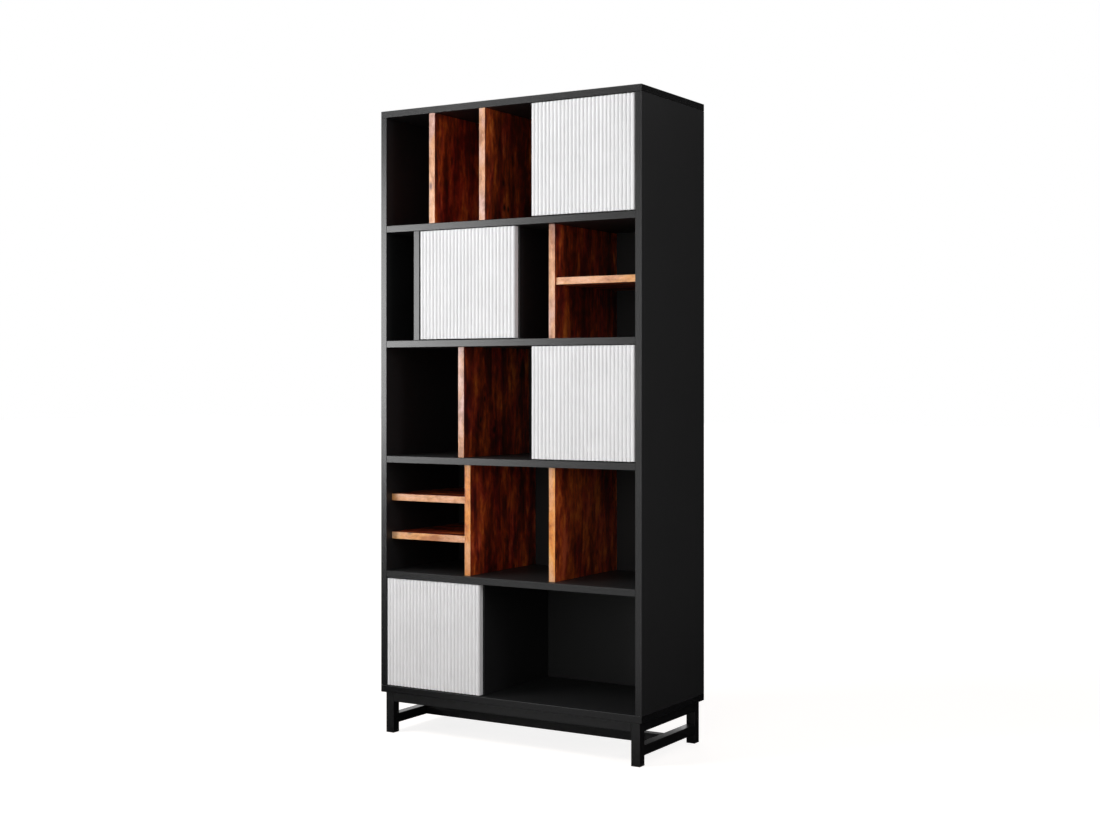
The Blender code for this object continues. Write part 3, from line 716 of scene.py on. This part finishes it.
def welded_mesh(name, surface):
    """A mesh from points and quads, with coinciding points made one."""
    points, quads = surface
    _, first, same = np.unique(np.round(points / WELD).astype(np.int64), axis=0, return_index=True,
                               return_inverse=True)
    quads = same.ravel()[quads]
    real = quads != np.roll(quads, 1, axis=1)
    faces = real.sum(axis=1) > 2
    loops, sides = quads[faces][real[faces]], real[faces].sum(axis=1)
    mesh = bpy.data.meshes.new(name)
    mesh.vertices.add(len(first))
    mesh.vertices.foreach_set("co", points[first].ravel())
    mesh.loops.add(len(loops))
    mesh.loops.foreach_set("vertex_index", loops)
    mesh.polygons.add(len(sides))
    mesh.polygons.foreach_set("loop_start", np.cumsum(sides) - sides)
    mesh.update(calc_edges=True)
    return mesh


def open_edges(mesh):
    """How many edges of a mesh don't have exactly two faces."""
    edges = np.empty(len(mesh.loops), np.int32)
    mesh.loops.foreach_get("edge_index", edges)
    return int((np.bincount(edges, minlength=len(mesh.edges)) != 2).sum())


def make_piece(name, surface, materials, slot, body, *stands_for):
    """Weld and shade a surface, dress it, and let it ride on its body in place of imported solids."""
    mesh = welded_mesh(name, surface)
    mesh.shade_smooth()
    mesh.set_sharp_from_angle(angle=math.radians(SHARP_DEGREES))
    for material in materials:
        mesh.materials.append(material)
    piece = bpy.data.objects.new(name, mesh)
    bpy.context.scene.collection.objects.link(piece)
    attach(piece, body)
    if stands_for:
        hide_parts(*stands_for)
    if open_edges(mesh):
        raise ValueError(f"{name} has {open_edges(mesh)} open edges")
    return piece


drum = welded_mesh("drum", turned(((0, 0), (1, 0), (1, 1), (0, 1))))
print("welded, the drum has", len(drum.vertices), "points and", open_edges(drum), "open edges")
bpy.data.meshes.remove(drum)

# %% [markdown]
# ## Dividers and small shelves of wood
# Each is a board of 18 mm with a 0.8 mm strip of veneer on its front edge. The
# outline of the board's section is carried along the grain, up for a divider
# and along X for a small shelf, so the easings run along the edges that show.
# The faces of the strip are those that lie within 0.8 mm of the front.

# %% Wood boards
STRIP = 0.8 * MM
BOARD_EASE = STRIP / (1 + BESIDE)
STRIP_SLOT = 1


def wood_board(name, rolls, materials):
    """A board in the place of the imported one, with its lighter front strip."""
    low, high = (np.roll(np.array(corner), -rolls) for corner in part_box(name))
    outline = eased(((low[0], low[1]), (high[0], low[1]), (high[0], high[1]), (low[0], high[1])), BOARD_EASE)
    surface = carried(outline, low[2], high[2], BOARD_EASE, rolls)
    mesh = make_piece(f"{name}_veneered", surface, materials, "wood_veneer", "root", name).data
    centres = np.empty(len(mesh.polygons) * 3)
    mesh.polygons.foreach_get("center", centres)
    in_strip = centres[Y_AXIS::3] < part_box(name)[0][Y_AXIS] + STRIP
    mesh.polygons.foreach_set("material_index", np.where(in_strip, STRIP_SLOT, 0).astype(np.int32))


# The dividers of rows 1 to 3 take the strip with painted reflection in its colour.
for name in sorted(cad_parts):
    if "_wood_divider" in name:
        wood_board(name, 0, (upright_veneer, warm_strip if name.startswith("row4") else sheen_painted_strip))
    elif "_small_shelf" in name:
        wood_board(name, 1, (lying_veneer, shelf_strip))

# %% [markdown]
# ## Reeded doors
# The front of a door is milled to 27 upright reeds. In section each reed is an
# arc of 6.1 mm radius, 3 mm high, and the cutter leaves a small fillet in the
# groove between two reeds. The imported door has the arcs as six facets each.
# Here the section is smooth, and so is the step from reed to groove: the
# fillet touches both arcs, which settles its radius.

# %% The section of the reeds
REED_PITCH = 11.1 * MM
REED_DEPTH = 3 * MM
GROOVE_FLAT = 0.6 * MM
STRIKE_THICKNESS = 1 * MM
DOOR_EASE = 0.4 * MM
REED_STEPS, FILLET_STEPS = 14, 4


def reed_section(width):
    """Places across a reeded front, and how deep it lies behind its crests there.

    With the half chord c and the depth d, the reed's radius is R = (c^2 + d^2) / 2d.
    A circle in the groove that touches both reeds and reaches the depth d has the
    radius f = ((p / 2)^2 + d^2 - 2 R d) / 2d, with the pitch p.
    """
    count = round(width / REED_PITCH)
    half = width / count / 2
    reed = ((half - GROOVE_FLAT / 2) ** 2 + REED_DEPTH ** 2) / (2 * REED_DEPTH)
    fillet = (half ** 2 + REED_DEPTH ** 2 - 2 * reed * REED_DEPTH) / (2 * REED_DEPTH)
    meeting = half / (reed + fillet)
    reach = math.asin(meeting)

    crests = half * (2 * np.arange(count) + 1)[:, None]
    grooves = half * 2 * np.arange(1, count)[:, None]
    on_reeds = crests + reed * np.sin(np.linspace(-reach, reach, REED_STEPS + 1))
    in_grooves = grooves + fillet * np.sin(np.linspace(-reach, reach, FILLET_STEPS + 1)[1:-1])
    across = np.sort(np.concatenate([on_reeds.ravel(), in_grooves.ravel()]))
    from_crest = np.abs(across % (2 * half) - half)
    on_arc = reed - np.sqrt(reed ** 2 - np.minimum(from_crest, meeting * reed) ** 2)
    in_arc = REED_DEPTH - fillet + np.sqrt(np.maximum(fillet ** 2 - (half - from_crest) ** 2, 0.0))
    return across, np.where(from_crest <= meeting * reed + WELD, on_arc, in_arc), (count, reed, fillet)


across, behind, (count, reed, fillet) = reed_section(0.300)
print(count, "reeds of radius", round(reed / MM, 2), "mm, grooves of", round(fillet / MM, 2), "mm")

# %% [markdown]
# The outline of the door runs along the reeds from left to right, and back
# along the flat rear face, with as many points behind as in front. Then it is
# carried up. A shallow pocket in each end takes the plate of a pivot.

# %% The doors
PLATE_THICKNESS = 2 * MM
SEAT_GAP = 0.3 * MM
END_STEPS = 16
POCKET_EASE = 0.05 * MM


def door_outline(low, high):
    """The section of a door between two corners, anticlockwise seen from above."""
    across, behind, _ = reed_section(high[0] - low[0])
    inner = (across > DOOR_EASE * (1 + BESIDE)) & (across < across[-1] - DOOR_EASE)
    across, behind = across[inner], behind[inner]
    width, thick = high[0] - low[0], high[1] - low[1]
    corners = eased(((0.0, REED_DEPTH), (width, REED_DEPTH), (width, thick), (0.0, thick)), DOOR_EASE)
    left_front, right_front, right_rear, left_rear = np.split(corners, 4)
    front = np.stack([across, behind], axis=1)
    rear = np.stack([across[::-1], np.full(len(across), thick)], axis=1)
    outline = np.concatenate([left_front, front, right_front, right_rear, rear, left_rear])
    return outline + np.array((low[0], low[1]))


def cut_away(piece, surface):
    """Cut a closed surface from a piece, for good."""
    cutter = bpy.data.objects.new("cutter", welded_mesh("cutter", surface))
    bpy.context.scene.collection.objects.link(cutter)
    cut = piece.modifiers.new("pocket", "BOOLEAN")
    cut.object = cutter
    cut.solver = "EXACT"
    shaped = piece.evaluated_get(bpy.context.evaluated_depsgraph_get())
    piece.data = bpy.data.meshes.new_from_object(shaped)
    piece.modifiers.clear()
    bpy.data.objects.remove(cutter)


def round_ended(pivot, margin):
    """The outline of a pivot's plate, widened by a margin on all sides.

    Half circles of points at angles from -90 to 90 degrees round off the two ends.
    """
    low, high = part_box(pivot)
    half = (high[Y_AXIS] - low[Y_AXIS]) / 2
    angle = np.linspace(-math.pi / 2, math.pi / 2, END_STEPS + 1)
    ring = (half + margin) * np.stack([np.cos(angle), np.sin(angle)], axis=1)
    middle = (low[Y_AXIS] + high[Y_AXIS]) / 2
    outline = np.concatenate([ring + (high[0] - half, middle), -ring + (low[0] + half, middle)])
    return np.roll(outline, END_STEPS // 2, axis=0)


def pocket(pivot, edge, up):
    """The pocket for a pivot's plate in an end of the door, open above or below."""
    floor, mouth = sorted((edge - up * (PLATE_THICKNESS + SEAT_GAP), edge + up * SEAT_GAP))
    return carried(round_ended(pivot, SEAT_GAP), floor, mouth, POCKET_EASE)


def make_door(row):
    """A reeded door, with the pockets for its pivots."""
    name = f"row{row}_door"
    low, high = (np.array(corner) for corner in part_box(name))
    high[Y_AXIS] -= STRIKE_THICKNESS
    surface = carried(door_outline(low, high), low[2], high[2], DOOR_EASE)
    door = make_piece(f"{name}_reeded", surface, (white_lacquer,), "white_paint", name, name)
    cut_away(door, pocket(f"row{row}_upper_pivot", high[2], 1))
    cut_away(door, pocket(f"row{row}_lower_pivot", low[2], -1))
    door.data.shade_smooth()
    door.data.set_sharp_from_angle(angle=math.radians(SHARP_DEGREES))
    return door


DOOR_ROWS = (1, 2, 3, 5)
for row in DOOR_ROWS:
    door = make_door(row)
    print(door.name, len(door.data.polygons), "faces,", open_edges(door.data), "open edges")

# %% [markdown]
# ## Pivots, bushes and latches
# A door turns on two steel pins. Each pin stands on a plate let into the
# door's edge, held by two screws, and turns in a flanged nylon bush in the
# board over or under it. Bushes are turned or moulded round, so a profile
# turned round the pin's axis is their whole shape.

# %% Bushes
PIN_RADIUS = 2.5 * MM
RUN_GAP = 0.3 * MM
BUSH_WALL = 1.5 * MM
BUSH_SLEEVE = 8.3 * MM
BUSH_FLOOR = 1 * MM
SMALL_EASE = 0.35 * MM
DOOR_ENDS = ("upper", "up"), ("lower", "down")


def middle_of(name):
    """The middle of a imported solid's box."""
    low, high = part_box(name)
    return (np.array(low) + np.array(high)) / 2


def end_height(name, facing):
    """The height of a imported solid's top, when facing up, or else of its underside."""
    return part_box(name)[1 if facing == "up" else 0][Z_AXIS]


def turned_piece(name, profile, place, facing, material, slot, body, *stands_for):
    """A piece that is one profile, eased, and turned round an axis through a place."""
    shape = set_at(turned(eased(profile, SMALL_EASE, closed=False)), place, facing)
    make_piece(name, shape, (material,), slot, body, *stands_for)


def make_bush(row, side, facing):
    """A flanged blind bush. Its closed end faces up or down, into the board.

    Heights run from the face of the flange to the closed end.
    """
    name = f"row{row}_{side}_bush"
    low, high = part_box(name)
    middle = middle_of(name)
    flange, length = middle[0] - low[0], high[2] - low[2]
    bore = PIN_RADIUS + RUN_GAP
    sleeve, seat = bore + BUSH_WALL, length - BUSH_SLEEVE - SEAT_GAP
    profile = ((0.0, length), (sleeve, length), (sleeve, seat), (flange, seat), (flange, 0.0), (bore, 0.0),
               (bore, length - BUSH_FLOOR), (0.0, length - BUSH_FLOOR))
    face = (middle[0], middle[1], low[2] if facing == "up" else high[2])
    turned_piece(f"{name}_turned", profile, face, facing, nylon, "nylon", "root", name)


for row in DOOR_ROWS:
    for side, facing in DOOR_ENDS:
        make_bush(row, side, facing)
print("bushes", len(DOOR_ENDS) * len(DOOR_ROWS))

# %% [markdown]
# A pivot is a round-ended plate with a pin pressed into it. The pin's tip is
# chamfered to find its bush when the door is hung. Plate and pin are two
# closed surfaces in one piece.

# %% Pivots
PIN_CHAMFER = 0.6 * MM
PRESSED_IN = 0.5 * MM


def together(*surfaces):
    """Several closed surfaces as one: their points in a row, and their quads counted on."""
    shift = np.cumsum([0] + [len(points) for points, _ in surfaces])
    return (np.concatenate([points for points, _ in surfaces]),
            np.concatenate([quads + start for (_, quads), start in zip(surfaces, shift)]))


def make_pivot(row, side, facing):
    """The plate and the pin at one end of a door. The pin faces up or down."""
    name = f"row{row}_{side}_pivot"
    edge, tip = end_height(f"row{row}_door", facing), end_height(name, facing)
    low, high = sorted((edge, edge - math.copysign(PLATE_THICKNESS, tip - edge)))
    plate = carried(round_ended(name, 0.0), low, high, SMALL_EASE)
    reach = abs(tip - edge)
    profile = eased(((0.0, -PRESSED_IN), (PIN_RADIUS, -PRESSED_IN), (PIN_RADIUS, reach - PIN_CHAMFER),
                     (PIN_RADIUS - PIN_CHAMFER, reach), (0.0, reach)), SMALL_EASE, closed=False)
    x, y, _ = middle_of(f"row{row}_{side}_bush")
    shape = together(plate, set_at(turned(profile), (x, y, edge), facing))
    make_piece(f"{name}_pressed", shape, (zinc,), "plated_steel", f"row{row}_door", name)


for row in DOOR_ROWS:
    for side, facing in DOOR_ENDS:
        make_pivot(row, side, facing)
print("pivots", len(DOOR_ENDS) * len(DOOR_ROWS))

# %% [markdown]
# The screws have low oval heads with a cross recess. A head is a turned dome,
# whose points are pressed down where they lie inside the cross: the recess is
# a function of the place on the disc, and needs no cutter.

# %% Screws of the pivots
HEAD_STEPS, DOME_RINGS = 80, 21
HEAD_SUNK = 0.1 * MM
SCREW_STEPS_FROM_PIN = np.array((11.0, 22.0)) * MM


def screw_head(radius, rise, arm, arm_width, recess):
    """A domed head round Z on the plane z = 0, with a cross pressed into it.

    The dome's height is rise (1 - (r / radius)^2). A point (x, y) is in an arm of the
    cross where |x| is under half the width and |y| under the arm, or the other way
    round, with a slope of a tenth of the radius at its rim.
    """
    reach = np.linspace(1.0, 0.0, DOME_RINGS)
    dome = np.stack([radius * reach, rise * (1 - reach ** 2)], axis=1)
    points, quads = turned(np.concatenate([[(0.0, -HEAD_SUNK), (radius, -HEAD_SUNK)], dome]), HEAD_STEPS)
    x, y = np.abs(points[:, 0]), np.abs(points[:, 1])
    slope = radius / 10
    across = [np.clip((arm_width / 2 - a) / slope + 0.5, 0, 1) * np.clip((arm - b) / slope + 0.5, 0, 1)
              for a, b in ((x, y), (y, x))]
    points[:, 2] -= recess * np.maximum(*across) * (points[:, 2] > 0)
    return points, quads


def make_pivot_screws(row, side, facing):
    """The two screws that hold a pivot's plate, in a line from its pin."""
    x, y, _ = middle_of(f"row{row}_{side}_bush")
    away = math.copysign(1.0, middle_of(f"row{row}_{side}_pivot")[0] - x)
    edge = end_height(f"row{row}_door", facing)
    places = [(x + away * step, y, edge) for step in SCREW_STEPS_FROM_PIN]
    make_piece(f"row{row}_{side}_pivot_screws", set_at(pivot_head, places, facing), (zinc,), "plated_steel",
               f"row{row}_door")


pivot_head = screw_head(radius=3.0 * MM, rise=0.9 * MM, arm=1.8 * MM, arm_width=0.9 * MM, recess=0.7 * MM)
for row in DOOR_ROWS:
    for side, facing in DOOR_ENDS:
        make_pivot_screws(row, side, facing)
print("pivot screws", len(SCREW_STEPS_FROM_PIN) * len(DOOR_ENDS) * len(DOOR_ROWS))

# %% [markdown]
# A push latch is a moulded barrel with a flange, let into the front edge of
# the divider behind the door. Its sprung plunger pushes on a plated disc on
# the back of the door. A push on the door releases it, and the plunger moves
# the door far enough to take hold of its edge.

# %% Latches, plungers and strike discs
PLUNGER_RADIUS = 3 * MM
PLUNGER_NOSE = 1.2 * MM
LATCH_RADIUS = 5 * MM
LATCH_FLANGE = 1.2 * MM
LATCH_END_WALL = 2 * MM
GROOVE_OUTER, GROOVE_INNER, GROOVE_DEPTH = 5.6 * MM, 4.6 * MM, 0.25 * MM
STRIKE_RADIUS = 6 * MM
STRIKE_SUNK = 0.3 * MM
DIMPLE_RADIUS = 1.5 * MM


def make_latch(row):
    """A latch barrel. Its flange has a shallow groove round the plunger's hole."""
    name = f"row{row}_latch_body"
    low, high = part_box(name)
    x, _, z = middle_of(name)
    flange, length, hollow = x - low[0], high[1] - low[1], PLUNGER_RADIUS + RUN_GAP
    profile = ((0.0, length), (LATCH_RADIUS, length), (LATCH_RADIUS, LATCH_FLANGE), (flange, LATCH_FLANGE),
               (flange, 0.0), (GROOVE_OUTER, 0.0), (GROOVE_OUTER, GROOVE_DEPTH), (GROOVE_INNER, GROOVE_DEPTH),
               (GROOVE_INNER, 0.0), (hollow, 0.0), (hollow, length - LATCH_END_WALL),
               (0.0, length - LATCH_END_WALL))
    turned_piece(f"{name}_moulded", profile, (x, low[1], z), "back", latch_plastic, "latch_plastic", "root",
                 name)


def make_plunger(row):
    """A plunger with a tapered nose, on the axis of its latch."""
    name = f"row{row}_latch_plunger"
    low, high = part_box(name)
    x, _, z = middle_of(f"row{row}_latch_body")
    length = high[1] - low[1]
    profile = ((0.0, length), (PLUNGER_RADIUS, length), (PLUNGER_RADIUS, PLUNGER_NOSE / 2),
               (PLUNGER_RADIUS - PLUNGER_NOSE, 0.0), (0.0, 0.0))
    turned_piece(f"{name}_moulded", profile, (x, low[1], z), "back", plunger_plastic, "plunger_plastic",
                 f"row{row}_plunger", name)


def make_strike(row):
    """A strike disc on the back of the door, with a dimple where the plunger lands."""
    x, _, z = middle_of(f"row{row}_latch_body")
    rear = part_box(f"row{row}_door")[1][Y_AXIS] - STRIKE_THICKNESS
    profile = ((0.0, -STRIKE_SUNK), (STRIKE_RADIUS, -STRIKE_SUNK), (STRIKE_RADIUS, STRIKE_THICKNESS),
               (DIMPLE_RADIUS, STRIKE_THICKNESS), (DIMPLE_RADIUS / 2, STRIKE_THICKNESS / 2),
               (0.0, STRIKE_THICKNESS / 2))
    turned_piece(f"row{row}_door_strike", profile, (x, rear, z), "back", zinc, "plated_steel",
                 f"row{row}_door")


for row in DOOR_ROWS:
    make_latch(row)
    make_plunger(row)
    make_strike(row)
print("latches, plungers and strike discs", 3 * len(DOOR_ROWS))

# %% [markdown]
# ## Small fasteners out of the photograph's sight
# The back panel is nailed into its rebates and into the rear edges of the
# shelves. Screws hold the base from below, through its upper bars. Their heads
# are small and repeated, so a nail has a few dozen faces.

# %% Nails of the back panel
NAIL_RADIUS = 1.6 * MM
NAIL_RISE = 0.4 * MM
NAIL_FROM_EDGE = 4 * MM
NAIL_SPACING = 110 * MM
NAIL_FACETS = 12


def spaced(low, high):
    """Places from low to high, both taken in, no further apart than NAIL_SPACING."""
    return np.linspace(low, high, math.ceil((high - low) / NAIL_SPACING) + 1)


low, high = (np.array(corner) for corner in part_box("back_panel"))
left, right = low[0] + NAIL_FROM_EDGE, high[0] - NAIL_FROM_EDGE
bottom, top = low[2] + NAIL_FROM_EDGE, high[2] - NAIL_FROM_EDGE
shelf_middles = [middle_of(f"shelf_{row}")[Z_AXIS] for row in (1, 2, 3, 4)]
places = [(x, high[1], z) for z in (bottom, *shelf_middles, top) for x in spaced(left, right)[1:-1]]
places += [(x, high[1], z) for x in (left, right) for z in spaced(bottom, top)]
nail = turned(((0.0, -HEAD_SUNK), (NAIL_RADIUS, -HEAD_SUNK), (NAIL_RADIUS, NAIL_RISE / 3),
               (0.7 * NAIL_RADIUS, 0.9 * NAIL_RISE), (0.0, NAIL_RISE)), NAIL_FACETS)
make_piece("back_panel_nails", set_at(nail, places, "back"), (zinc,), "plated_steel", "root")
print("nails", len(places))

# %% [markdown]
# The screws of the base stand head down under its upper bars. The front and
# rear rail have two each, and so has the bar at each side.

# %% Screws of the base
ALONG_RAIL = (-0.22, 0.22)
ALONG_SIDE = (-0.08, 0.08)

under = end_height("front_rail", "down")
places = [(x, middle_of(name)[1], under) for name in ("front_rail", "rear_rail") for x in ALONG_RAIL]
sides = ("left_base_frame", "right_base_frame")
places += [(middle_of(name)[0], y, under) for name in sides for y in ALONG_SIDE]
base_head = screw_head(radius=5.5 * MM, rise=2.4 * MM, arm=3.2 * MM, arm_width=1.5 * MM, recess=1.8 * MM)
make_piece("base_screws", set_at(base_head, places, "down"), (blued_steel,), "plated_steel", "root")
print("base screws", len(places))

# %% [markdown]
# ## The end
# The finer pieces are made to fill the same boxes as the imported solids.
# The plain view of colours keeps each tone as it was set.

# %% The end
bpy.context.scene.view_settings.view_transform = "Standard"
